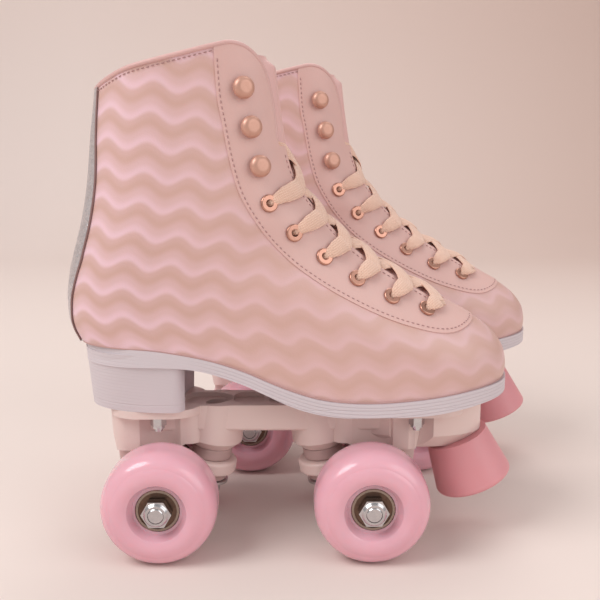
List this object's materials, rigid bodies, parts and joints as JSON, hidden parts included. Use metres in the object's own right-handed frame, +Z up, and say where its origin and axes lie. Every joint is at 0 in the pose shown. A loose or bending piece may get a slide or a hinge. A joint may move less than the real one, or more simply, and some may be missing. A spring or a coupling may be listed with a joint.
{
  "type": "quad roller skates",
  "caption": "Pair of high laced roller boots with heeled soles on nylon plates, steering trucks, cushioned kingpins, urethane wheels on ball bearings and angled toe stops.",
  "frame": {"origin": "on the ground under the middle of the pair's bounding box", "axes": "+X towards the toes, +Y towards the left skate, +Z up; the right skate is on the -Y side"},
  "size_m": [0.2726, 0.2224, 0.2528],
  "materials": {
    "upper": "satin",
    "tongue": "matte",
    "footbed": "matte",
    "backstay": "glitter",
    "outsole": "satin",
    "eyelet": "polished",
    "hook": "satin",
    "lace": "matte",
    "plate": "satin",
    "steel": "polished",
    "toe_stop": "matte",
    "cushion": "matte",
    "wheel": "gloss",
    "bearing": "satin",
    "truck": "satin"
  },
  "bodies": {
    "right_skate": {"right_upper": "upper", "right_backstay": "backstay", "right_tongue": "tongue", "right_footbed": "footbed", "right_outsole": "outsole", "right_eyelets": "eyelet", "right_lace_hooks": "hook", "right_lace": "lace", "right_plate": "plate", "right_mounting_bolts": "steel", "right_toe_stop": "toe_stop", "right_toe_stop_bolt": "steel", "right_kingpins": "steel", "right_pivot_cups": "cushion", "right_rear_cushions": "cushion", "right_front_cushions": "cushion"},
    "right_rear_truck": {"right_rear_truck": "truck", "right_rear_axle": "steel", "right_rear_axle_nuts": "steel"},
    "right_rear_outer_wheel": {"right_rear_outer_wheel": "wheel", "right_rear_outer_bearings": "bearing"},
    "right_rear_inner_wheel": {"right_rear_inner_wheel": "wheel", "right_rear_inner_bearings": "bearing"},
    "right_front_truck": {"right_front_truck": "truck", "right_front_axle": "steel", "right_front_axle_nuts": "steel"},
    "right_front_outer_wheel": {"right_front_outer_wheel": "wheel", "right_front_outer_bearings": "bearing"},
    "right_front_inner_wheel": {"right_front_inner_wheel": "wheel", "right_front_inner_bearings": "bearing"},
    "left_skate": {"left_upper": "upper", "left_backstay": "backstay", "left_tongue": "tongue", "left_footbed": "footbed", "left_outsole": "outsole", "left_eyelets": "eyelet", "left_lace_hooks": "hook", "left_lace": "lace", "left_plate": "plate", "left_mounting_bolts": "steel", "left_toe_stop": "toe_stop", "left_toe_stop_bolt": "steel", "left_kingpins": "steel", "left_pivot_cups": "cushion", "left_rear_cushions": "cushion", "left_front_cushions": "cushion"},
    "left_rear_truck": {"left_rear_truck": "truck", "left_rear_axle": "steel", "left_rear_axle_nuts": "steel"},
    "left_rear_outer_wheel": {"left_rear_outer_wheel": "wheel", "left_rear_outer_bearings": "bearing"},
    "left_rear_inner_wheel": {"left_rear_inner_wheel": "wheel", "left_rear_inner_bearings": "bearing"},
    "left_front_truck": {"left_front_truck": "truck", "left_front_axle": "steel", "left_front_axle_nuts": "steel"},
    "left_front_outer_wheel": {"left_front_outer_wheel": "wheel", "left_front_outer_bearings": "bearing"},
    "left_front_inner_wheel": {"left_front_inner_wheel": "wheel", "left_front_inner_bearings": "bearing"}
  },
  "joints": [
    {"name": "left_skate_lift", "type": "slide", "parent": "right_skate", "child": "left_skate", "axis": [0, 0, 1], "range_m": [0, 0.3]},
    {"name": "right_rear_truck_steer", "type": "hinge", "parent": "right_skate", "child": "right_rear_truck", "pos_m": [-0.0665, -0.06, 0.0377], "axis": [0.9796, 0, -0.2011], "range_deg": [-8, 8], "stiffness_Nm_per_rad": 25, "deforming": ["right_rear_cushions"]},
    {"name": "right_rear_outer_wheel_spin", "type": "hinge", "parent": "right_rear_truck", "child": "right_rear_outer_wheel", "pos_m": [-0.0885, -0.094, 0.029], "axis": [0, 1, 0], "continuous": true},
    {"name": "right_rear_inner_wheel_spin", "type": "hinge", "parent": "right_rear_truck", "child": "right_rear_inner_wheel", "pos_m": [-0.0885, -0.026, 0.029], "axis": [0, 1, 0], "continuous": true},
    {"name": "right_front_truck_steer", "type": "hinge", "parent": "right_skate", "child": "right_front_truck", "pos_m": [-0.0045, -0.06, 0.0377], "axis": [-0.9796, 0, -0.2011], "range_deg": [-8, 8], "stiffness_Nm_per_rad": 25, "deforming": ["right_front_cushions"]},
    {"name": "right_front_outer_wheel_spin", "type": "hinge", "parent": "right_front_truck", "child": "right_front_outer_wheel", "pos_m": [0.0175, -0.094, 0.029], "axis": [0, 1, 0], "continuous": true},
    {"name": "right_front_inner_wheel_spin", "type": "hinge", "parent": "right_front_truck", "child": "right_front_inner_wheel", "pos_m": [0.0175, -0.026, 0.029], "axis": [0, 1, 0], "continuous": true},
    {"name": "left_rear_truck_steer", "type": "hinge", "parent": "left_skate", "child": "left_rear_truck", "pos_m": [-0.0265, 0.06, 0.0377], "axis": [0.9796, 0, -0.2011], "range_deg": [-8, 8], "stiffness_Nm_per_rad": 25, "deforming": ["left_rear_cushions"]},
    {"name": "left_rear_outer_wheel_spin", "type": "hinge", "parent": "left_rear_truck", "child": "left_rear_outer_wheel", "pos_m": [-0.0485, 0.094, 0.029], "axis": [0, 1, 0], "continuous": true},
    {"name": "left_rear_inner_wheel_spin", "type": "hinge", "parent": "left_rear_truck", "child": "left_rear_inner_wheel", "pos_m": [-0.0485, 0.026, 0.029], "axis": [0, 1, 0], "continuous": true},
    {"name": "left_front_truck_steer", "type": "hinge", "parent": "left_skate", "child": "left_front_truck", "pos_m": [0.0355, 0.06, 0.0377], "axis": [-0.9796, 0, -0.2011], "range_deg": [-8, 8], "stiffness_Nm_per_rad": 25, "deforming": ["left_front_cushions"]},
    {"name": "left_front_outer_wheel_spin", "type": "hinge", "parent": "left_front_truck", "child": "left_front_outer_wheel", "pos_m": [0.0575, 0.094, 0.029], "axis": [0, 1, 0], "continuous": true},
    {"name": "left_front_inner_wheel_spin", "type": "hinge", "parent": "left_front_truck", "child": "left_front_inner_wheel", "pos_m": [0.0575, 0.026, 0.029], "axis": [0, 1, 0], "continuous": true}
  ]
}
